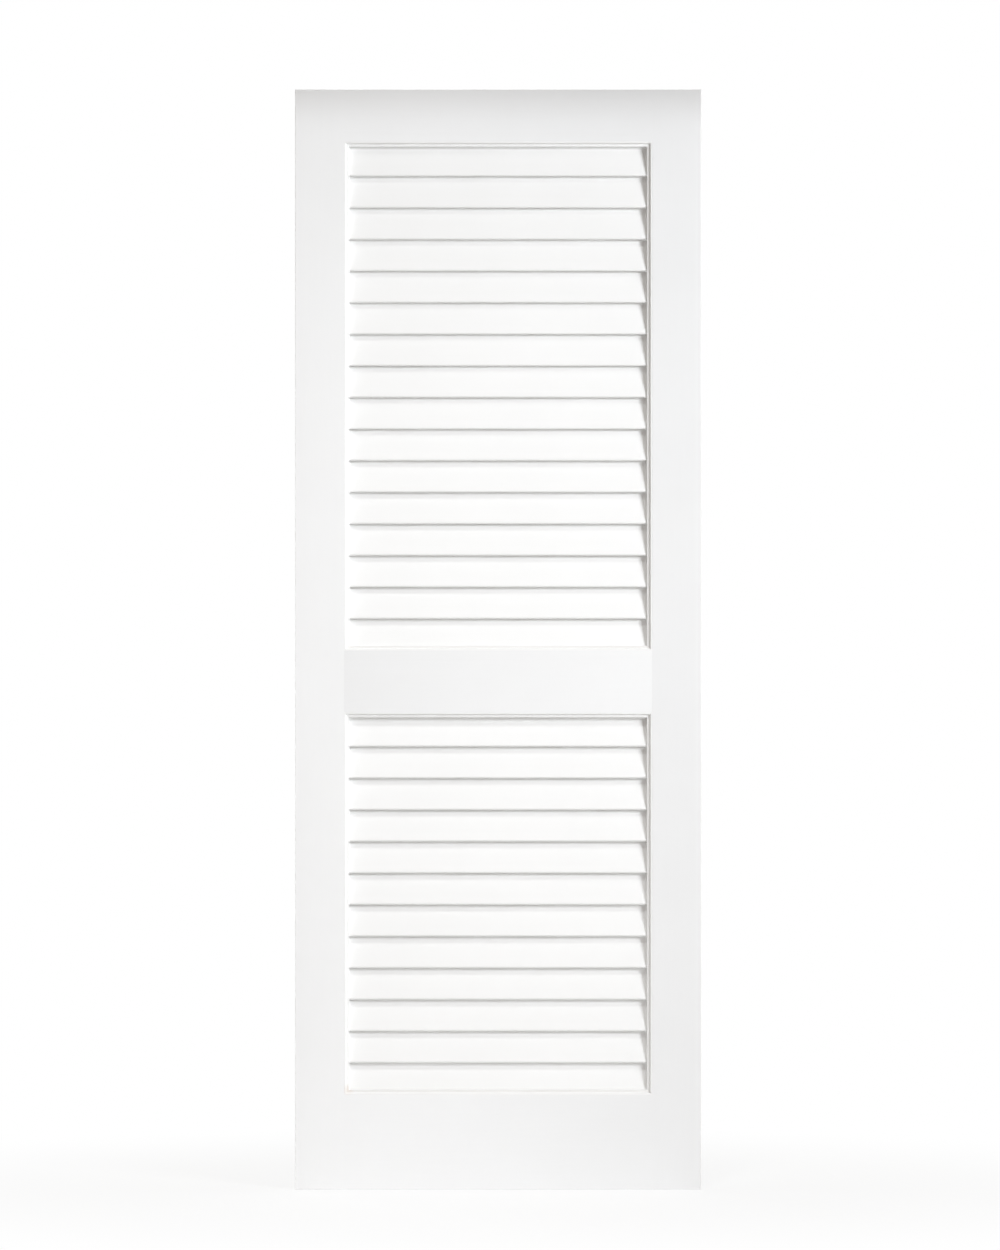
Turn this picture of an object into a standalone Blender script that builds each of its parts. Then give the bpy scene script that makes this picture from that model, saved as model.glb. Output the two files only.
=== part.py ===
"""Louvered closet door leaf: a doweled stile-and-rail frame with two banks of fixed slats.

Metres, +Z up. The origin is the middle of the bottom edge and the front face looks along -Y.
Two stiles run the full height and three rails sit between them on dowels. Each opening is lined
with four mitred strips, which show a flat lip, a bevel and a ledge on both faces. The upright
strips are housed for the slat ends, and the first and last slat of a bank are ripped to meet the liner.
"""

import math

import bmesh
import bpy
from mathutils import Matrix, Vector

# Leaf
DOOR_WIDTH = 0.750
DOOR_HEIGHT = 2.032
DOOR_THICKNESS = 0.035

# Frame members
STILE_WIDTH = 0.0905
TOP_RAIL_HEIGHT = 0.096
LOCK_RAIL_HEIGHT = 0.1145
BOTTOM_RAIL_HEIGHT = 0.1745
OUTER_ARRIS = 0.0008
ARRIS_SEGMENTS = 2

# Liner strips round the openings
LINER_THICKNESS = 0.009
LINER_RECESS = 0.0003
LIP_WIDTH = 0.0025
BEVEL_WIDTH = 0.0022
LEDGE_DEPTH = 0.005
LEDGE_ARRIS = 0.0005
HOUSING_WEB = 0.003

# Slats
UPPER_SLATS = 16
LOWER_SLATS = 12
SLAT_THICKNESS = 0.0063
SLAT_OVERLAP = 0.005
SLAT_BEHIND_LEDGE = 0.003
NOSE_SEGMENTS = 6

# Dowels
RAIL_DOWEL_COUNT = 2
BOTTOM_RAIL_DOWEL_COUNT = 3
DOWEL_DIAMETER = 0.012
DOWEL_LENGTH = 0.110
DOWEL_CHAMFER = 0.001
DOWEL_EDGE_MARGIN = 0.026
DOWEL_SIDES = 12

# Clearances
FIT_GAP = 0.0003
RIPPED_GAP = 0.0008

# Places of the members, from the floor up
OPENING_WIDTH = DOOR_WIDTH - 2 * STILE_WIDTH
RAIL_HEIGHTS = TOP_RAIL_HEIGHT + LOCK_RAIL_HEIGHT + BOTTOM_RAIL_HEIGHT
SLAT_PITCH = (DOOR_HEIGHT - RAIL_HEIGHTS - 4 * LIP_WIDTH) / (UPPER_SLATS + LOWER_SLATS)
LOWER_OPENING_FOOT = BOTTOM_RAIL_HEIGHT
LOWER_OPENING_HEIGHT = LOWER_SLATS * SLAT_PITCH + 2 * LIP_WIDTH
LOCK_RAIL_FOOT = LOWER_OPENING_FOOT + LOWER_OPENING_HEIGHT
UPPER_OPENING_FOOT = LOCK_RAIL_FOOT + LOCK_RAIL_HEIGHT
UPPER_OPENING_HEIGHT = UPPER_SLATS * SLAT_PITCH + 2 * LIP_WIDTH
TOP_RAIL_FOOT = UPPER_OPENING_FOOT + UPPER_OPENING_HEIGHT

# A slat has round noses, so the centres of its two noses give its tilt and width. Across the
# door it fills the room behind the ledges, and upwards it passes the pitch by the overlap.
SLAT_ROOM = DOOR_THICKNESS - 2 * (LEDGE_DEPTH + SLAT_BEHIND_LEDGE)
NOSE_RISE = SLAT_PITCH + SLAT_OVERLAP - SLAT_THICKNESS
NOSE_RUN = SLAT_ROOM - SLAT_THICKNESS
SLAT_TILT = math.atan2(NOSE_RUN, NOSE_RISE)
SLAT_WIDTH = math.hypot(NOSE_RISE, NOSE_RUN) + SLAT_THICKNESS
SLAT_LENGTH = OPENING_WIDTH - 2 * (HOUSING_WEB + 2 * FIT_GAP)
RIP_HEIGHT = SLAT_PITCH / 2 + LIP_WIDTH - LINER_THICKNESS - RIPPED_GAP

SMOOTH_ANGLE = math.radians(35)

# Foot, height and number of slats of each opening
OPENINGS = {
    "upper": (UPPER_OPENING_FOOT, UPPER_OPENING_HEIGHT, UPPER_SLATS),
    "lower": (LOWER_OPENING_FOOT, LOWER_OPENING_HEIGHT, LOWER_SLATS),
}

# Foot, height and dowels at each end of each rail
RAILS = {
    "top_rail": (TOP_RAIL_FOOT, TOP_RAIL_HEIGHT, RAIL_DOWEL_COUNT),
    "lock_rail": (LOCK_RAIL_FOOT, LOCK_RAIL_HEIGHT, RAIL_DOWEL_COUNT),
    "bottom_rail": (0.0, BOTTOM_RAIL_HEIGHT, BOTTOM_RAIL_DOWEL_COUNT),
}


def clear_scene():
    for obj in list(bpy.data.objects):
        bpy.data.objects.remove(obj)


def new_collection(name, shelf):
    collection = bpy.data.collections.new(name)
    shelf.children.link(collection)
    return collection


def new_material(name, colour, roughness):
    material = bpy.data.materials.new(name)
    material.use_nodes = True
    shader = material.node_tree.nodes["Principled BSDF"]
    shader.inputs["Base Color"].default_value = (*colour, 1.0)
    shader.inputs["Roughness"].default_value = roughness
    shader.inputs["Metallic"].default_value = 0.0
    return material


def finish_mesh(name, shape, material=None):
    """The bmesh as a mesh with its faces turned outwards, smooth on its round stretches."""
    bmesh.ops.recalc_face_normals(shape, faces=shape.faces)
    mesh = bpy.data.meshes.new(name)
    shape.to_mesh(mesh)
    shape.free()
    mesh.shade_smooth()
    mesh.set_sharp_from_angle(angle=SMOOTH_ANGLE)
    if material:
        mesh.materials.append(material)
    return mesh


def place(name, mesh, collection, parent, location=(0, 0, 0), rotation=(0, 0, 0)):
    obj = bpy.data.objects.new(name, mesh)
    obj.parent = parent
    obj.location = location
    obj.rotation_euler = rotation
    collection.objects.link(obj)
    return obj


def place_cutter(name, mesh, collection, parent, location=(0, 0, 0), rotation=(0, 0, 0)):
    cutter = place(name, mesh, collection, parent, location, rotation)
    cutter.hide_render = True
    cutter.display_type = "WIRE"


def cut(obj, cutters):
    """Takes every solid of the cutters' collection out of the object."""
    boolean = obj.modifiers.new(cutters.name, "BOOLEAN")
    boolean.operation = "DIFFERENCE"
    boolean.operand_type = "COLLECTION"
    boolean.collection = cutters
    boolean.solver = "EXACT"


def box(size):
    shape = bmesh.new()
    bmesh.ops.create_cube(shape, size=1.0)
    bmesh.ops.scale(shape, vec=size, verts=shape.verts)
    return shape


def ease(shape, edges):
    """Rounds off the given edges as the outer arrises of the leaf."""
    bmesh.ops.bevel(
        shape, geom=edges, offset=OUTER_ARRIS, offset_type="OFFSET", affect="EDGES",
        segments=ARRIS_SEGMENTS, profile=0.5, material=-1, clamp_overlap=True,
    )


def prism(outline, length):
    """A (y, z) outline drawn out along X and centred on the YZ plane."""
    shape = bmesh.new()
    face = shape.faces.new([shape.verts.new((-length / 2, y, z)) for y, z in outline])
    drawn = bmesh.ops.extrude_face_region(shape, geom=[face])
    far_end = [item for item in drawn["geom"] if isinstance(item, bmesh.types.BMVert)]
    bmesh.ops.translate(shape, verts=far_end, vec=(length, 0, 0))
    return shape


def saw_off(shape, point, outwards):
    """Cuts the shape flat at a plane, and drops what lies outwards of it."""
    everything = shape.verts[:] + shape.edges[:] + shape.faces[:]
    bmesh.ops.bisect_plane(shape, geom=everything, plane_co=point, plane_no=outwards, clear_outer=True)
    bmesh.ops.holes_fill(shape, edges=[edge for edge in shape.edges if edge.is_boundary])


def make_stiles(collection, parent, material, dowel_holes):
    for side, sign in (("left", -1), ("right", 1)):
        shape = box((STILE_WIDTH, DOOR_THICKNESS, DOOR_HEIGHT))
        outer = [e for e in shape.edges if all(v.co.x * sign > 0 for v in e.verts)]
        ends = [e for e in shape.edges if e.verts[0].co.x * e.verts[1].co.x < 0]
        ease(shape, outer + ends)
        mesh = finish_mesh(f"{side}_stile", shape, material)
        where = (sign * (DOOR_WIDTH - STILE_WIDTH) / 2, 0, DOOR_HEIGHT / 2)
        cut(place(f"{side}_stile", mesh, collection, parent, where), dowel_holes)


def is_leaf_end(height):
    """Whether a height is the foot or the top of the leaf."""
    return min(abs(height), abs(DOOR_HEIGHT - height)) < FIT_GAP


def make_rails(collection, parent, material, dowel_holes):
    for name, (foot, height, _) in RAILS.items():
        middle = foot + height / 2
        shape = box((OPENING_WIDTH - 2 * FIT_GAP, DOOR_THICKNESS, height))
        long_edges = [e for e in shape.edges if e.verts[0].co.x * e.verts[1].co.x < 0]
        outer = [e for e in long_edges if is_leaf_end(middle + e.verts[0].co.z)]
        if outer:
            ease(shape, outer)
        mesh = finish_mesh(name, shape, material)
        cut(place(name, mesh, collection, parent, (0, 0, middle)), dowel_holes)


def dowel_seats():
    """Name and place of every dowel: half of it lies in the rail and half in the stile."""
    for rail, (foot, height, count) in RAILS.items():
        span = height - 2 * DOWEL_EDGE_MARGIN
        for side, sign in (("left", -1), ("right", 1)):
            for number in range(count):
                up = foot + DOWEL_EDGE_MARGIN + span * number / (count - 1)
                name = f"{rail}_{side}_dowel_{number + 1}"
                yield name, (sign * OPENING_WIDTH / 2, 0, up)


def rod(diameter, length):
    """A round rod along X."""
    shape = bmesh.new()
    bmesh.ops.create_cone(
        shape, cap_ends=True, segments=DOWEL_SIDES, radius1=diameter / 2, radius2=diameter / 2,
        depth=length, matrix=Matrix.Rotation(math.pi / 2, 4, "Y"),
    )
    return shape


def make_dowels(collection, parent, material):
    shape = rod(DOWEL_DIAMETER, DOWEL_LENGTH)
    rims = [e for e in shape.edges if e.verts[0].co.x * e.verts[1].co.x > 0]
    bmesh.ops.bevel(
        shape, geom=rims, offset=DOWEL_CHAMFER, offset_type="OFFSET", affect="EDGES",
        segments=1, profile=0.5, material=-1,
    )
    mesh = finish_mesh("dowel", shape, material)
    for name, where in dowel_seats():
        place(name, mesh, collection, parent, where)


def make_dowel_holes(collection, parent):
    shape = rod(DOWEL_DIAMETER + 2 * FIT_GAP, DOWEL_LENGTH + 2 * FIT_GAP)
    mesh = finish_mesh("dowel_hole", shape)
    for name, where in dowel_seats():
        place_cutter(f"{name}_hole", mesh, collection, parent, where)


def slat_seats(bank):
    """Number from the top, height of the middle and ripped edge (1 top, -1 foot, 0 none)."""
    foot, height, count = OPENINGS[bank]
    head = foot + height - LIP_WIDTH
    for number in range(1, count + 1):
        ripped = {1: 1, count: -1}.get(number, 0)
        yield number, head - (number - 0.5) * SLAT_PITCH, ripped


def slat_shape(margin, ripped):
    """A slat along X, standing upright, grown all round by a margin; a ripped edge lies level."""
    radius = SLAT_THICKNESS / 2 + margin
    reach = (SLAT_WIDTH - SLAT_THICKNESS) / 2
    outline = []
    for nose_centre, start in ((reach, 0.0), (-reach, math.pi)):
        for step in range(NOSE_SEGMENTS + 1):
            angle = start + math.pi * step / NOSE_SEGMENTS
            outline.append((radius * math.cos(angle), nose_centre + radius * math.sin(angle)))
    shape = prism(outline, SLAT_LENGTH + 2 * margin)
    if ripped:
        level = Matrix.Rotation(SLAT_TILT, 3, "X") @ Vector((0, 0, ripped))
        saw_off(shape, level * (RIP_HEIGHT + margin), level)
    return shape


def make_slats(collection, parent, material):
    meshes = {
        ripped: finish_mesh(name, slat_shape(0.0, ripped), material)
        for ripped, name in ((0, "slat"), (1, "head_slat"), (-1, "sill_slat"))
    }
    for bank in OPENINGS:
        for number, height, ripped in slat_seats(bank):
            name = f"{bank}_slat_{number:02d}"
            place(name, meshes[ripped], collection, parent, (0, 0, height), (-SLAT_TILT, 0, 0))


def make_housings(bank, collection, parent):
    meshes = {ripped: finish_mesh("housing", slat_shape(FIT_GAP, ripped)) for ripped in (0, 1, -1)}
    for number, height, ripped in slat_seats(bank):
        name = f"{bank}_housing_{number:02d}"
        place_cutter(name, meshes[ripped], collection, parent, (0, 0, height), (-SLAT_TILT, 0, 0))


def liner_outline():
    """Section of a liner: y runs through the door, z runs from the frame into the opening."""
    face = DOOR_THICKNESS / 2 - LINER_RECESS
    ledge = DOOR_THICKNESS / 2 - LEDGE_DEPTH
    front = [
        (-face, FIT_GAP),
        (-face, LIP_WIDTH),
        (-ledge, LIP_WIDTH + BEVEL_WIDTH),
        (-ledge, LINER_THICKNESS - LEDGE_ARRIS),
        (-ledge + LEDGE_ARRIS, LINER_THICKNESS),
    ]
    back = [(-y, z) for y, z in reversed(front)]
    return front + back


def liner_mesh(name, opening_length, material):
    """A liner as long as one side of an opening, mitred at both ends."""
    shape = prism(liner_outline(), opening_length)
    for sign in (-1, 1):
        outwards = Vector((sign, 0, 1)).normalized()
        corner = Vector((sign * opening_length / 2, 0, 0)) - outwards * FIT_GAP / 2
        saw_off(shape, corner, outwards)
    return finish_mesh(name, shape, material)


def make_liners(bank, collection, parent, material, housings):
    foot, height, _ = OPENINGS[bank]
    middle = foot + height / 2
    across = liner_mesh(f"{bank}_liner_across", OPENING_WIDTH, material)
    place(f"{bank}_liner_sill", across, collection, parent, (0, 0, foot))
    place(f"{bank}_liner_head", across, collection, parent, (0, 0, foot + height), (0, math.pi, 0))
    for side, sign in (("left", -1), ("right", 1)):
        upright = liner_mesh(f"{bank}_liner_{side}", height, material)
        where = (sign * OPENING_WIDTH / 2, 0, middle)
        turned = (0, -sign * math.pi / 2, 0)
        cut(place(f"{bank}_liner_{side}", upright, collection, parent, where, turned), housings)


def main():
    clear_scene()
    root = bpy.context.scene.collection
    door = new_collection("louvered_closet_door", root)
    cutters = new_collection("cutters", root)
    origin = bpy.data.objects.new("door_origin", None)
    door.objects.link(origin)

    frame_paint = new_material("frame_paint", (0.86, 0.865, 0.87), 0.42)
    liner_paint = new_material("liner_paint", (0.89, 0.89, 0.885), 0.42)
    slat_paint = new_material("slat_paint", (0.89, 0.89, 0.885), 0.40)
    dowel_wood = new_material("dowel_wood", (0.62, 0.43, 0.26), 0.65)

    dowel_holes = new_collection("dowel_holes", cutters)
    make_dowel_holes(dowel_holes, origin)
    make_stiles(door, origin, frame_paint, dowel_holes)
    make_rails(door, origin, frame_paint, dowel_holes)
    make_dowels(door, origin, dowel_wood)

    for bank in OPENINGS:
        housings = new_collection(f"{bank}_housings", cutters)
        make_housings(bank, housings, origin)
        make_liners(bank, door, origin, liner_paint, housings)
    make_slats(door, origin, slat_paint)


main()
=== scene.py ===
import math

import bmesh
import bpy
from mathutils import Matrix, Vector


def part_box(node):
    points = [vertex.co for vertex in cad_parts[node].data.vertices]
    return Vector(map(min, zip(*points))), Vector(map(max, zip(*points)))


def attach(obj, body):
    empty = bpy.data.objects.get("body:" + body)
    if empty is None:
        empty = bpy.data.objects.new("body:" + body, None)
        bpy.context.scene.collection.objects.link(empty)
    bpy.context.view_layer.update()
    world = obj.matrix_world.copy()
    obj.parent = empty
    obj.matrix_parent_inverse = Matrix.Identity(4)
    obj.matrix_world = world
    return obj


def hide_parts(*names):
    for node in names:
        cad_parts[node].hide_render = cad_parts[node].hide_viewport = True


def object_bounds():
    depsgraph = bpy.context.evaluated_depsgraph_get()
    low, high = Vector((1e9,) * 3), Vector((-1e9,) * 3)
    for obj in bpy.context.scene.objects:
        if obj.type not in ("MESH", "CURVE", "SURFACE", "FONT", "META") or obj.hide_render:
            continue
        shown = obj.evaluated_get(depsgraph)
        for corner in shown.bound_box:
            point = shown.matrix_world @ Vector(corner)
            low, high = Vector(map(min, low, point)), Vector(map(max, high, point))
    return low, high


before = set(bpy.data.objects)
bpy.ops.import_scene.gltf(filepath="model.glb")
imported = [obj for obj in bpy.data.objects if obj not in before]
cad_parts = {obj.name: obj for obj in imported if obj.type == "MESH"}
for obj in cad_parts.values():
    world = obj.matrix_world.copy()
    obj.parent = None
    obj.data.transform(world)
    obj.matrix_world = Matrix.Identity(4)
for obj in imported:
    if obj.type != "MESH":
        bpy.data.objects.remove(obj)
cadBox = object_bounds()
leafLow, leafHigh = cadBox
print("frame: loaded", len(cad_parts), "nodes")

scene = bpy.context.scene
scene.view_settings.view_transform = "Standard"


class Wire:  # a shader socket that can be reckoned with

    def __init__(self, tree, socket=None):
        self.tree = tree
        self.socket = socket

    def node(self, kind, settings=None, sockets=None, output=0):
        made = self.tree.nodes.new(kind)
        for name, value in (settings or {}).items():
            setattr(made, name, value)
        for name, value in (sockets or {}).items():
            if isinstance(value, Wire):
                self.tree.links.new(value.socket, made.inputs[name])
            else:
                made.inputs[name].default_value = value
        return Wire(self.tree, made.outputs[output]) if made.outputs else None

    def maths(self, operation, first, second):
        return self.node("ShaderNodeMath", {"operation": operation}, {0: first, 1: second})

    def __add__(self, other):
        return self.maths("ADD", self, other)

    def __sub__(self, other):
        return self.maths("SUBTRACT", self, other)

    def __rsub__(self, other):
        return self.maths("SUBTRACT", other, self)

    def __mul__(self, other):
        return self.maths("MULTIPLY", self, other)

    __radd__ = __add__
    __rmul__ = __mul__

    def ramp(self, low, high):  # 0 below low, 1 above high, eased between
        return self.node(
            "ShaderNodeMapRange", {"interpolation_type": "SMOOTHSTEP"},
            {"Value": self, "From Min": low, "From Max": high},
        )

    def blend(self, start, end):  # from one colour to another as this value goes from 0 to 1
        colours = {0: self, 6: start, 7: end}  # the Mix node's factor and its two colour sockets
        return self.node("ShaderNodeMix", {"data_type": "RGBA"}, colours, output=2)


def newFinish(name):
    material = bpy.data.materials.new(name)
    material.use_nodes = True
    tree = material.node_tree
    tree.nodes.clear()
    return material, Wire(tree)


def opaque(colour):
    return (*colour, 1.0)


# Painted timber

framePaint = {
    "colour": (0.864, 0.866, 0.868), "roughness": 0.42, "mottle": 0.040, "streak": 0.024,
    "grainAcross": 420.0, "grainAlong": 9.0, "thinColour": (0.80, 0.775, 0.74), "thin": 0.35,
}
linerPaint = {
    "colour": (0.890, 0.890, 0.885), "roughness": 0.42, "mottle": 0.040, "streak": 0.032,
    "grainAcross": 520.0, "grainAlong": 12.0, "thinColour": (0.80, 0.77, 0.73), "thin": 0.35,
    # dust and painted shade in the crevices and on the sill's ledges: its colour and how strongly
    # it darkens
    "dustAndShadeColour": (0.56, 0.50, 0.46), "dustAndShadeStrength": 0.45,
}
slatPaint = {
    "colour": (0.890, 0.890, 0.885), "roughness": 0.40, "mottle": 0.036, "streak": 0.024,
    "grainAcross": 460.0, "grainAlong": 8.0, "thinColour": (0.82, 0.80, 0.77), "thin": 0.30,
}
brushwork = {  # how the paint lies on every board
    "grain": {"Scale": 1.0, "Detail": 5.0, "Roughness": 0.62, "Distortion": 0.35},
    "cloud": {"Scale": 5.5, "Detail": 3.0, "Roughness": 0.5},
    "stipple": {"Scale": 900.0, "Detail": 2.0, "Roughness": 0.5},
    # the patches of thin paint, and of dust and painted shade
    "thinPatches": (0.35, 0.75), "dustAndShadePatches": (0.3, 0.7), "leastDustAndShade": 0.6,
    "cloudyGloss": 0.10, "stippledGloss": 0.06, "shine": {"IOR": 1.5, "Specular IOR Level": 0.4},
    "grainShare": 0.7, "relief": {"Strength": 0.5, "Distance": 0.00005},
}
paintedLightTones = {  # painted light and shade: each board is made lighter or darker from its left side to its right, lighter on the left stile and darker on the right one
    "left_stile": (1.045, 1.045), "right_stile": (0.965, 0.965),
    "top_rail": (1.045, 0.965), "lock_rail": (0.990, 1.030), "bottom_rail": (1.045, 0.965),
}
bareMitre = {  # where the paint missed the foot of the lower left liner
    "colour": (0.60, 0.42, 0.30), "strength": 0.30, "inset": (0.007, 0.004, 0.009),
    "core": 0.002, "reach": 0.014, "patches": (0.30, 0.60),
}


def paintedTimber(name, look, grainAxis, paintedShadeTones=(1.0, 1.0), bareCorner=None):
    material, pen = newFinish(name)
    place = pen.node("ShaderNodeTexCoord", output="Object")
    stretch = [look["grainAcross"]] * 3
    stretch["XYZ".index(grainAxis)] = look["grainAlong"]
    along = pen.node("ShaderNodeMapping", None, {"Vector": place, "Scale": stretch})
    grain = pen.node("ShaderNodeTexNoise", None, {"Vector": along, **brushwork["grain"]})
    cloud = pen.node("ShaderNodeTexNoise", None, {"Vector": place, **brushwork["cloud"]})
    stipple = pen.node("ShaderNodeTexNoise", None, {"Vector": place, **brushwork["stipple"]})
    arris = pen.node("ShaderNodeAttribute", {"attribute_name": "arris"}, output="Fac")

    # the tones paint light and shade into the colour, lighter or darker from the leaf's left to
    # its right
    across = pen.node("ShaderNodeSeparateXYZ", None, {"Vector": place}, "X")
    paintedShadeFactor = paintedShadeTones[0] + (paintedShadeTones[1] - paintedShadeTones[0]) * across.ramp(leafLow.x, leafHigh.x)
    uneven = 1 + look["mottle"] * (cloud - 0.5) + look["streak"] * (grain - 0.5)
    colour = pen.node(
        "ShaderNodeVectorMath", {"operation": "SCALE"},
        {0: look["colour"], "Scale": paintedShadeFactor * uneven}, "Vector",
    )
    thin = arris * grain.ramp(*brushwork["thinPatches"]) * look["thin"]
    colour = thin.blend(colour, opaque(look["thinColour"]))
    # dust and painted shade darken the marked crevices and the sill's ledges
    if "dustAndShadeStrength" in look:
        dustAndShade = pen.node("ShaderNodeAttribute", {"attribute_name": "dustAndShade"}, output="Fac")
        least = brushwork["leastDustAndShade"]
        patches = least + (1 - least) * cloud.ramp(*brushwork["dustAndShadePatches"])
        dustyAndShaded = dustAndShade * patches * look["dustAndShadeStrength"]
        colour = dustyAndShaded.blend(colour, opaque(look["dustAndShadeColour"]))
    if bareCorner:
        apart = pen.node(
            "ShaderNodeVectorMath", {"operation": "DISTANCE"}, {0: place, 1: bareCorner}, "Value",
        )
        near = 1 - apart.ramp(bareMitre["core"], bareMitre["reach"])
        bare = near * grain.ramp(*bareMitre["patches"]) * bareMitre["strength"]
        colour = bare.blend(colour, opaque(bareMitre["colour"]))

    cloudyGloss = brushwork["cloudyGloss"] * (cloud - 0.5)
    stippledGloss = brushwork["stippledGloss"] * (stipple - 0.5)
    height = brushwork["grainShare"] * grain + (1 - brushwork["grainShare"]) * stipple
    relief = pen.node("ShaderNodeBump", None, {**brushwork["relief"], "Height": height})
    paint = pen.node(
        "ShaderNodeBsdfPrincipled", None,
        {
            "Base Color": colour, "Roughness": look["roughness"] + cloudyGloss + stippledGloss,
            "Normal": relief, **brushwork["shine"],
        },
    )
    pen.node("ShaderNodeOutputMaterial", None, {"Surface": paint})
    return material


dowelWood = {
    "pale": (0.70, 0.50, 0.31), "dark": (0.48, 0.31, 0.17), "roughness": 0.62, "unevenGloss": 0.15,
    "rings": {"Scale": 260.0, "Distortion": 3.0, "Detail": 2.0, "Detail Scale": 0.6},
    "fibre": {"Scale": 1.0, "Detail": 4.0}, "fibreAcross": 1500.0, "fibreAlong": 40.0,
    "ringShare": 0.45, "relief": {"Strength": 0.4, "Distance": 0.0001},
}


def bareHardwood(name, look):
    material, pen = newFinish(name)
    place = pen.node("ShaderNodeTexCoord", output="Object")
    stretch = (look["fibreAlong"], look["fibreAcross"], look["fibreAcross"])
    along = pen.node("ShaderNodeMapping", None, {"Vector": place, "Scale": stretch})
    fibre = pen.node("ShaderNodeTexNoise", None, {"Vector": along, **look["fibre"]})
    rings = pen.node(
        "ShaderNodeTexWave", {"wave_type": "BANDS", "bands_direction": "Y"},
        {"Vector": place, **look["rings"]}, "Fac",
    )
    figure = look["ringShare"] * rings + (1 - look["ringShare"]) * fibre
    colour = figure.blend(opaque(look["dark"]), opaque(look["pale"]))
    roughness = look["roughness"] + look["unevenGloss"] * (fibre - 0.5)
    relief = pen.node("ShaderNodeBump", None, {**look["relief"], "Height": fibre})
    wood = pen.node(
        "ShaderNodeBsdfPrincipled", None,
        {"Base Color": colour, "Roughness": roughness, "Normal": relief},
    )
    pen.node("ShaderNodeOutputMaterial", None, {"Surface": wood})
    return material


frameCorner = Vector((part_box("left_stile")[1].x, leafLow.y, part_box("bottom_rail")[1].z))
mitreCorner = frameCorner + Vector(bareMitre["inset"])
boardFinishes = {
    node: paintedTimber(node + "Paint", framePaint, "Z" if node.endswith("stile") else "X", paintedShadeTones)
    for node, paintedShadeTones in paintedLightTones.items()
}
uprightFinish = paintedTimber("uprightLinerPaint", linerPaint, "Z", bareCorner=mitreCorner)
acrossFinish = paintedTimber("acrossLinerPaint", linerPaint, "X", bareCorner=mitreCorner)
slatFinish = paintedTimber("slatPaint", slatPaint, "X")
dowelFinish = bareHardwood("dowelWood", dowelWood)
print("finishes:", len(bpy.data.materials), "materials")


# Timber working

tolerance = 0.000001
straightShare = 0.99
smoothAngle = math.radians(40)


def newTimber():  # corners are marked where an arris wears thin, and where a crevice takes dust and painted shade
    timber = bmesh.new()
    timber.verts.layers.float.new("arris")
    timber.verts.layers.float.new("dustAndShade")
    return timber


def planedBoard(low, high):
    board = newTimber()
    bmesh.ops.create_cube(board, size=1.0)
    bmesh.ops.scale(board, vec=high - low, verts=board.verts)
    bmesh.ops.translate(board, vec=(low + high) / 2, verts=board.verts)
    return board


def wholeOf(timber):
    return timber.verts[:] + timber.edges[:] + timber.faces[:]


def edgesAlong(timber, axis):  # axis 0 is across the leaf and 2 is up
    picked = []
    for edge in timber.edges:
        span = edge.verts[0].co - edge.verts[1].co
        if abs(span[axis]) > span.length * straightShare:
            picked.append(edge)
    return picked


def uprightAt(board, across):
    return [edge for edge in edgesAlong(board, 2) if abs(edge.verts[0].co.x - across) < tolerance]


def levelAt(timber, up, within=tolerance):
    return [edge for edge in edgesAlong(timber, 0) if abs(edge.verts[0].co.z - up) < within]


def easeEdges(timber, edges, radius, segments, mark="arris"):
    rounded = bmesh.ops.bevel(
        timber, geom=edges, offset=radius, offset_type="OFFSET", affect="EDGES",
        segments=segments, profile=0.5, material=-1, clamp_overlap=True,
    )
    strip = set(rounded["faces"])
    layer = timber.verts.layers.float[mark]
    for corner in rounded["verts"]:
        if all(face in strip for face in corner.link_faces):
            corner[layer] = 1.0


def sawOff(timber, point, outwards):
    bmesh.ops.bisect_plane(
        timber, geom=wholeOf(timber), plane_co=point, plane_no=outwards, clear_outer=True,
    )
    bmesh.ops.holes_fill(timber, edges=[edge for edge in timber.edges if edge.is_boundary])


def cutRing(timber, point, along):  # adds corners all round where a plane crosses the timber
    bmesh.ops.bisect_plane(timber, geom=wholeOf(timber), plane_co=point, plane_no=along)
    return [corner for corner in timber.verts if abs((corner.co - point).dot(along)) < tolerance]


def finishPiece(node, timber, finish):
    bmesh.ops.remove_doubles(timber, verts=timber.verts, dist=tolerance)
    bmesh.ops.recalc_face_normals(timber, faces=timber.faces)
    mesh = bpy.data.meshes.new(node + "Dressed")
    timber.to_mesh(mesh)
    timber.free()
    mesh.materials.append(finish)
    mesh.shade_smooth()
    mesh.set_sharp_from_angle(angle=smoothAngle)
    piece = bpy.data.objects.new(node + "Dressed", mesh)
    scene.collection.objects.link(piece)
    weighted = piece.modifiers.new("flatFaces", "WEIGHTED_NORMAL")
    weighted.keep_sharp = True
    weighted.weight = 100  # broad faces stay flat beside their arrises
    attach(piece, "root")
    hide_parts(node)


# Stiles and rails

frameTimber = {  # radius and segments of each arris
    "outerArris": (0.0008, 4), "jointArris": (0.00035, 2), "nearLeafEnd": 0.001,
}


def makeStile(side, sign):
    node = side + "_stile"
    low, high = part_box(node)
    inner, outer = (high.x, low.x) if sign < 0 else (low.x, high.x)
    board = planedBoard(low, high)
    ends = edgesAlong(board, 0)
    easeEdges(board, uprightAt(board, outer) + ends, *frameTimber["outerArris"])
    easeEdges(board, uprightAt(board, inner), *frameTimber["jointArris"])
    finishPiece(node, board, boardFinishes[node])


def makeRail(node):
    low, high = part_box(node)
    low.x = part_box("left_stile")[1].x  # the painted joint is closed
    high.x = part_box("right_stile")[0].x
    board = planedBoard(low, high)
    near = frameTimber["nearLeafEnd"]
    outer = levelAt(board, leafLow.z, near) + levelAt(board, leafHigh.z, near)
    if outer:
        easeEdges(board, outer, *frameTimber["outerArris"])
    shoulders = uprightAt(board, low.x) + uprightAt(board, high.x)
    easeEdges(board, shoulders, *frameTimber["jointArris"])
    finishPiece(node, board, boardFinishes[node])


makeStile("left", -1)
makeStile("right", 1)
for railName in ("top_rail", "lock_rail", "bottom_rail"):
    makeRail(railName)
print("frame: stiles and rails dressed")


# Liners round the two openings

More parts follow.
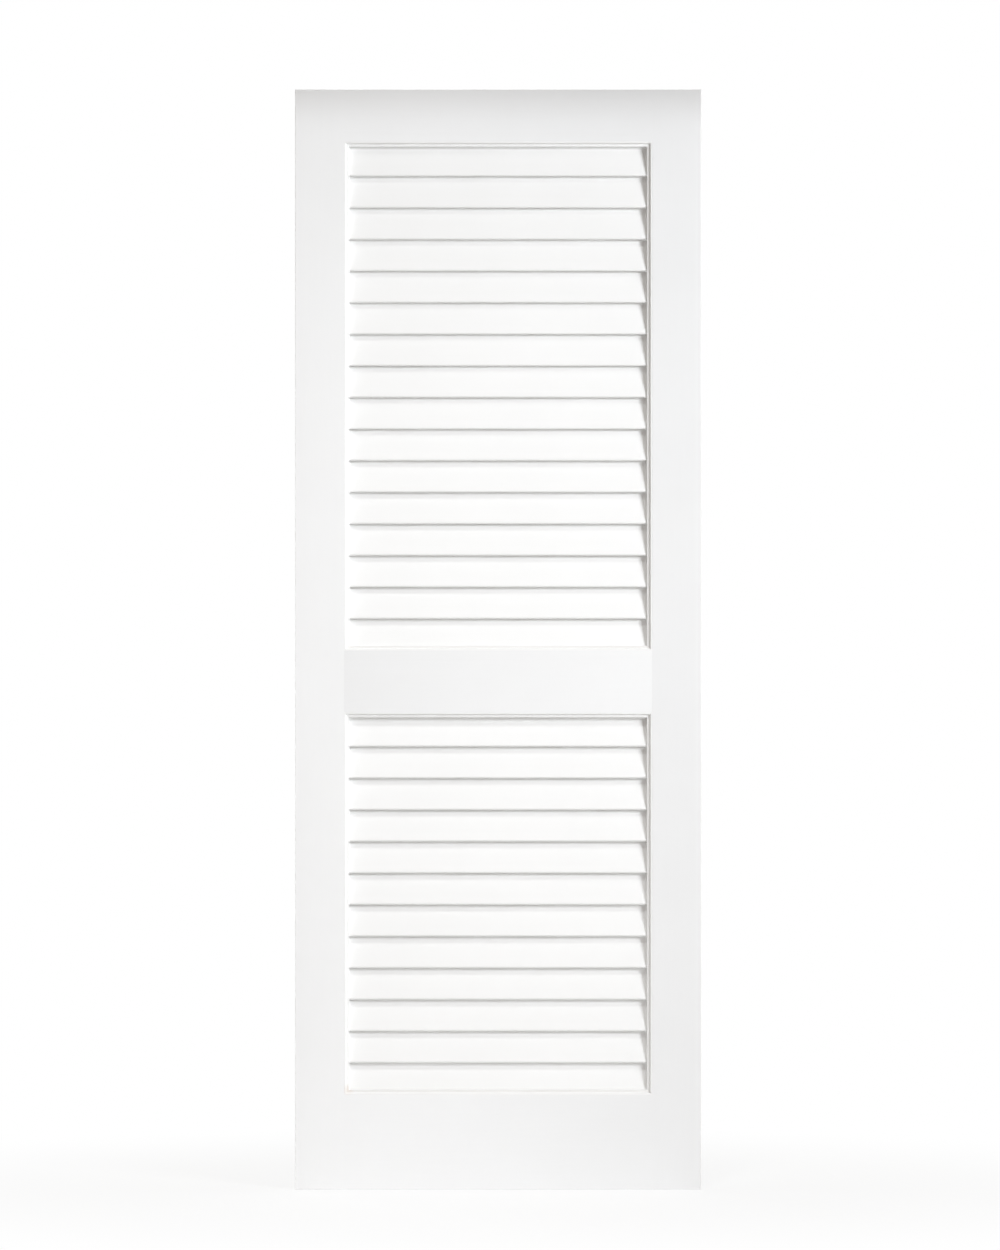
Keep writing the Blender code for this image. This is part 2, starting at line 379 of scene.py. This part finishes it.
liner = {  # the three rounds are a radius and its segments
    "reach": 0.009, "recess": 0.0003, "lip": 0.0025, "bevelWidth": 0.0022, "ledgeDepth": 0.005,
    "ledgeRound": (0.0007, 4), "lipRound": (0.0003, 2), "footRound": (0.0005, 3),
    # the sill's ledges are darkened by painted shade, by the last value
    "mitreGap": 0.00005, "sillPaintedShade": 0.60,
}
openings = {  # the rails below and above
    "upper": ("lock_rail", "top_rail"),
    "lower": ("bottom_rail", "lock_rail"),
}
leafHalf = leafHigh.y
ledgeFace = leafHalf - liner["ledgeDepth"]


def linerStrip(length):  # lies along X, its back on the frame at z 0 and its ledges towards +Z
    lipFace = leafHalf - liner["recess"]
    bevelFoot = liner["lip"] + liner["bevelWidth"]
    front = [
        (-lipFace, 0.0), (-lipFace, liner["lip"]),
        (-ledgeFace, bevelFoot), (-ledgeFace, liner["reach"]),
    ]
    section = front + [(-y, z) for y, z in reversed(front)]
    strip = newTimber()
    profile = strip.faces.new([strip.verts.new((-length / 2, y, z)) for y, z in section])
    drawn = bmesh.ops.extrude_face_region(strip, geom=[profile])
    farEnd = [item for item in drawn["geom"] if isinstance(item, bmesh.types.BMVert)]
    bmesh.ops.translate(strip, verts=farEnd, vec=(length, 0, 0))
    easeEdges(strip, levelAt(strip, liner["reach"]), *liner["ledgeRound"])
    easeEdges(strip, levelAt(strip, liner["lip"]), *liner["lipRound"])
    # the foot of the bevel is marked for dust and painted shade
    easeEdges(strip, levelAt(strip, bevelFoot), *liner["footRound"], mark="dustAndShade")
    for sign in (-1, 1):
        outwards = Vector((sign, 0, 1)).normalized()
        corner = Vector((sign * length / 2, 0, 0)) - outwards * liner["mitreGap"]
        sawOff(strip, corner, outwards)
    return strip


def paintSillShade(strip):  # painted shade darkens both ledges of the sill strip
    layer = strip.verts.layers.float["dustAndShade"]
    for corner in strip.verts:
        if abs(abs(corner.co.y) - ledgeFace) < tolerance:
            corner[layer] = max(corner[layer], liner["sillPaintedShade"])


def makeLiners(bank):
    below, above = openings[bank]
    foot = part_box(below)[1].z
    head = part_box(above)[0].z
    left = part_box("left_stile")[1].x
    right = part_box("right_stile")[0].x
    middle = (foot + head) / 2
    seats = {  # length, place and turn of each strip
        "sill": (right - left, (0, 0, foot), 0.0),
        "head": (right - left, (0, 0, head), math.pi),
        "left": (head - foot, (left, 0, middle), math.pi / 2),
        "right": (head - foot, (right, 0, middle), -math.pi / 2),
    }
    for side, (length, seat, turn) in seats.items():
        strip = linerStrip(length)
        if side == "sill":
            paintSillShade(strip)
        seated = Matrix.Translation(seat) @ Matrix.Rotation(turn, 4, "Y")
        bmesh.ops.transform(strip, matrix=seated, verts=strip.verts)
        finish = uprightFinish if side in ("left", "right") else acrossFinish
        finishPiece(f"{bank}_liner_{side}", strip, finish)


for bankName in openings:
    makeLiners(bankName)
print("liners: two mitred sets dressed")


# Slats

slat = {
    "thickness": 0.0063, "behindFace": 0.008, "overlap": 0.005, "endGap": 0.0001,
    "noseShare": 0.4995, "noseSegments": 8,
    # past the liner's inner face, and how far the paint stands out there
    "paintBead": ((-0.0014, 0.0), (-0.0005, 0.00012), (0.0, 0.00045), (0.0004, 0.0)),
    # down from the head, and how far the paint stands forward there
    "headCove": ((0.0044, 0.0), (0.0018, 0.0016), (0.0, 0.0054)),
}
sideways = Vector((1, 0, 0))
upwards = Vector((0, 0, 1))


def centreOf(node):
    low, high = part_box(node)
    return (low + high) / 2


def slatBlank(length, width, tilt, wall):
    thickness = slat["thickness"]
    corner = Vector((length, thickness, width)) / 2
    blank = planedBoard(-corner, corner)
    easeEdges(blank, edgesAlong(blank, 0), thickness * slat["noseShare"], slat["noseSegments"])
    for inset, swell in slat["paintBead"]:  # a bead of paint where the slat goes into the liner
        for sign in (-1, 1):
            ring = cutRing(blank, sideways * sign * (wall + inset), sideways)
            grow = Vector((1, 1 + 2 * swell / thickness, 1 + 2 * swell / width))
            bmesh.ops.scale(blank, vec=grow, verts=ring)
    lean = Matrix.Rotation(-tilt, 3, "X")
    bmesh.ops.rotate(blank, cent=(0, 0, 0), matrix=lean, verts=blank.verts)
    return blank


def meetHead(timber, head):  # paint coves the corner between the first slat and the head
    sawOff(timber, upwards * head, upwards)
    for down, forward in slat["headCove"]:
        ring = cutRing(timber, upwards * (head - down), upwards)
        middle = sum(corner.co.y for corner in ring) / len(ring)
        front = [corner for corner in ring if corner.co.y < middle]
        bmesh.ops.translate(timber, vec=(0, -forward, 0), verts=front)


def makeBank(bank):
    count = sum(node.startswith(bank + "_slat_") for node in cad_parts)
    second = centreOf(bank + "_slat_02")
    pitch = second.z - centreOf(bank + "_slat_03").z
    rise = pitch + slat["overlap"] - slat["thickness"]
    run = 2 * (leafHalf - slat["behindFace"]) - slat["thickness"]
    width = math.hypot(rise, run) + slat["thickness"]
    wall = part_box("right_stile")[0].x - liner["reach"]
    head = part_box(bank + "_liner_head")[0].z - slat["endGap"]
    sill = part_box(bank + "_liner_sill")[1].z + slat["endGap"]
    for number in range(1, count + 1):
        node = f"{bank}_slat_{number:02d}"
        low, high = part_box(node)
        timber = slatBlank(high.x - low.x, width, math.atan2(run, rise), wall)
        middle = second.z - (number - 2) * pitch
        bmesh.ops.translate(timber, vec=(0, 0, middle), verts=timber.verts)
        if number == 1:
            meetHead(timber, head)
        if number == count:
            sawOff(timber, upwards * sill, -upwards)
        finishPiece(node, timber, slatFinish)
    return count


slatCounts = {bankName: makeBank(bankName) for bankName in openings}
print("slats:", slatCounts)


# Dowels keep their CAD shape

dowels = [obj for node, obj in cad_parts.items() if "_dowel_" in node]
for dowel in dowels:
    dowel.data.materials.clear()
    dowel.data.materials.append(dowelFinish)
print("dowels:", len(dowels), "given bare hardwood")


# Floor and white ground

floorLook = {  # white far from the leaf, paper that takes its shadow near the foot
    "halfWidth": 40.0, "colour": (0.90, 0.90, 0.90), "whiteness": 0.80,
    "shadowNear": 0.10, "shadowFar": 1.0, "squeeze": (0.6, 1.0, 0.0),
}
plainWhite = (1.0, 1.0, 1.0)


def shownDirectly(pen):  # 1 for the camera and for what shows in a gloss or through glass
    seen = pen.node("ShaderNodeLightPath", output="Is Camera Ray")
    glossy = pen.node("ShaderNodeLightPath", output="Is Glossy Ray")
    through = pen.node("ShaderNodeLightPath", output="Is Transmission Ray")
    return pen.node("ShaderNodeClamp", None, {"Value": seen + glossy + through})


def makeFloor():
    material, pen = newFinish("floorPaper")
    paper = pen.node("ShaderNodeBsdfDiffuse", None, {"Color": opaque(floorLook["colour"])})
    white = pen.node("ShaderNodeEmission", None, {"Color": opaque(plainWhite), "Strength": 1.0})
    place = pen.node("ShaderNodeTexCoord", output="Object")
    flat = pen.node("ShaderNodeMapping", None, {"Vector": place, "Scale": floorLook["squeeze"]})
    away = pen.node("ShaderNodeVectorMath", {"operation": "LENGTH"}, {0: flat}, "Value")
    far = away.ramp(floorLook["shadowNear"], floorLook["shadowFar"])
    share = shownDirectly(pen) * (floorLook["whiteness"] + (1 - floorLook["whiteness"]) * far)
    mixed = pen.node("ShaderNodeMixShader", None, {0: share, 1: paper, 2: white})
    pen.node("ShaderNodeOutputMaterial", None, {"Surface": mixed})
    sheet = bmesh.new()
    bmesh.ops.create_grid(sheet, x_segments=1, y_segments=1, size=floorLook["halfWidth"])
    bmesh.ops.translate(sheet, vec=(0, 0, leafLow.z), verts=sheet.verts)
    mesh = bpy.data.meshes.new("floor")
    sheet.to_mesh(mesh)
    sheet.free()
    mesh.materials.append(material)
    floor = bpy.data.objects.new("floor", mesh)
    scene.collection.objects.link(floor)


studio = {"ambient": 0.255, "ambientColour": (1.10, 1.0, 0.90)}


def makeWorld():
    world = bpy.data.worlds.new("studio")
    world.use_nodes = True
    world.node_tree.nodes.clear()
    pen = Wire(world.node_tree)
    room = pen.node(
        "ShaderNodeBackground", None,
        {"Color": opaque(studio["ambientColour"]), "Strength": studio["ambient"]},
    )
    white = pen.node("ShaderNodeBackground", None, {"Color": opaque(plainWhite), "Strength": 1.0})
    mixed = pen.node("ShaderNodeMixShader", None, {0: shownDirectly(pen), 1: room, 2: white})
    pen.node("ShaderNodeOutputWorld", None, {"Surface": mixed})
    scene.world = world


# Lamps: side is degrees to the right of the camera, away and height are from the middle of the
# foot, and aim is across and up

daylight = (0.935, 0.967, 1.0)
keyLamp = {
    "side": 46.0, "away": 5.0, "height": 2.40, "aim": (0.0, 1.60), "wide": 1.8, "tall": 1.8,
    "watts": 58.5, "spread": 90.0, "colour": daylight,
}
topLamp = {  # steep, for the soft bands under the slats
    "side": -14.0, "away": 3.0, "height": 5.2, "aim": (-0.25, 0.30), "wide": 0.9, "tall": 0.8,
    "watts": 2.6, "spread": 30.0, "colour": plainWhite,
}
lowLamp = {  # lifts the lower bank
    "side": 30.0, "away": 1.6, "height": 0.25, "aim": (0.05, 0.50), "wide": 0.5, "tall": 0.5,
    "watts": 0.20, "spread": 100.0, "colour": plainWhite,
}
backLamp = {
    "side": -134.0, "away": 5.0, "height": 0.70, "aim": (0.0, 1.10), "wide": 1.8, "tall": 1.4,
    "watts": 45.0, "spread": 90.0, "colour": daylight,
}
edgeLamp = {  # a strip over the top edge, too narrow to reach the slats
    "side": 0.0, "away": 0.0, "height": 2.9, "aim": (0.0, 0.0), "wide": 0.9, "tall": 0.03,
    "watts": 0.25, "spread": 30.0, "colour": daylight,
}


def makeLamp(name, lamp):
    light = bpy.data.lights.new(name, "AREA")
    light.shape = "RECTANGLE"
    light.size = lamp["wide"]
    light.size_y = lamp["tall"]
    light.energy = lamp["watts"]
    light.color = lamp["colour"]
    light.spread = math.radians(lamp["spread"])
    side = math.radians(lamp["side"])
    ahead = Vector((math.sin(side), -math.cos(side), 0))
    seat = ahead * lamp["away"] + upwards * lamp["height"]
    target = Vector((lamp["aim"][0], 0, lamp["aim"][1]))
    stand = bpy.data.objects.new(name, light)
    stand.location = seat
    stand.rotation_euler = (target - seat).to_track_quat("-Z", "Y").to_euler()
    scene.collection.objects.link(stand)
    return stand


topCard = {  # stands out of sight in front, and keeps part of the light off the top of the leaf
    "away": 0.36, "foot": 2.100, "tall": 0.065, "thick": 0.002, "left": -0.35, "right": 1.10,
    "colour": (0.30, 0.30, 0.30),
}


def makeTopCard():
    material, pen = newFinish("cardPaper")
    paper = pen.node("ShaderNodeBsdfDiffuse", None, {"Color": opaque(topCard["colour"])})
    pen.node("ShaderNodeOutputMaterial", None, {"Surface": paper})
    low = Vector((topCard["left"], -topCard["away"] - topCard["thick"], topCard["foot"]))
    high = Vector((topCard["right"], -topCard["away"], topCard["foot"] + topCard["tall"]))
    board = planedBoard(low, high)
    mesh = bpy.data.meshes.new("topCard")
    board.to_mesh(mesh)
    board.free()
    mesh.materials.append(material)
    card = bpy.data.objects.new("topCard", mesh)
    card.visible_camera = False
    card.visible_glossy = False
    scene.collection.objects.link(card)
    return card


def shinePast(lamp, card):  # the card throws no shadow from this lamp
    passed = bpy.data.collections.new("passedByLamp")
    passed.objects.link(card)
    passed.collection_objects[0].light_linking.link_state = "EXCLUDE"
    lamp.light_linking.blocker_collection = passed


makeFloor()
makeWorld()
makeLamp("keyLamp", keyLamp)
shinePast(makeLamp("topLamp", topLamp), makeTopCard())
makeLamp("lowLamp", lowLamp)
makeLamp("backLamp", backLamp)
makeLamp("edgeLamp", edgeLamp)
print("studio: floor, world and lamps set")


# Camera: square on to the front, framed by where the leaf stands in the photograph

shot = {
    "imageWidth": 1000, "imageHeight": 1250, "away": 8.0, "sensor": 36.0,
    "leafLeft": 294.7, "leafRight": 701.45, "leafTop": 89.5, "leafFoot": 1189.45,
}


def makeCamera():
    metresPerPixel = (leafHigh.z - leafLow.z) / (shot["leafFoot"] - shot["leafTop"])
    lens = bpy.data.cameras.new("camera")
    lens.sensor_fit = "AUTO"
    lens.sensor_width = shot["sensor"]
    lens.lens = shot["sensor"] * shot["away"] / (shot["imageHeight"] * metresPerPixel)
    across = shot["imageWidth"] / 2 - (shot["leafLeft"] + shot["leafRight"]) / 2
    up = (shot["leafTop"] + shot["leafFoot"]) / 2 - shot["imageHeight"] / 2
    leafMiddle = (leafLow + leafHigh) / 2
    camera = bpy.data.objects.new("camera", lens)
    camera.location.x = leafMiddle.x + across * metresPerPixel
    camera.location.y = leafLow.y - shot["away"]
    camera.location.z = leafMiddle.z + up * metresPerPixel
    camera.rotation_euler = (math.pi / 2, 0, 0)
    scene.collection.objects.link(camera)
    scene.camera = camera


makeCamera()
print("camera: set")
